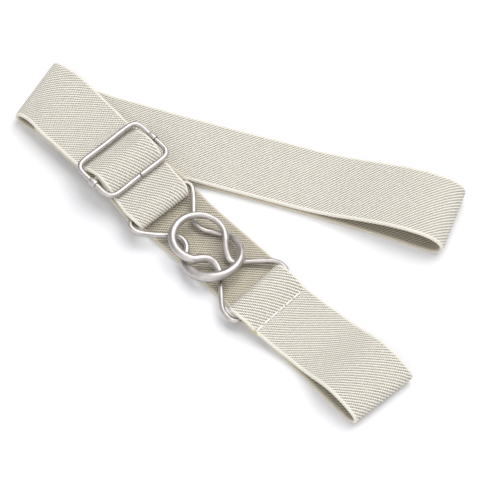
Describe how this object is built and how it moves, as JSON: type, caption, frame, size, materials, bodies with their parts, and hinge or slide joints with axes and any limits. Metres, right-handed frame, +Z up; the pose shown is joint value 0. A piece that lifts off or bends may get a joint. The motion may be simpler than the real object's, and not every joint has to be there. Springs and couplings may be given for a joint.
{
  "type": "stretch belt",
  "caption": "Cream elastic webbing waist belt with a hooked two-part wire buckle and a wire slider, fastened, lying flat and folded in a V",
  "frame": {"origin": "centre of the underside of the bounding box, on the surface that the belt lies on", "axes": "+X runs along the front strap from the left fold to the right fold, +Y points towards the long back strap, +Z is up"},
  "size_m": [0.208, 0.1112, 0.0142],
  "materials": {
    "webbing": "ribbed twill elastic webbing",
    "satin_nickel": "satin nickel-plated wire"
  },
  "bodies": {
    "root": {"webbing": "webbing", "buckle_left_half": "satin_nickel", "buckle_right_half": "satin_nickel", "slider_frame": "satin_nickel", "slider_bar": "satin_nickel"}
  },
  "joints": []
}
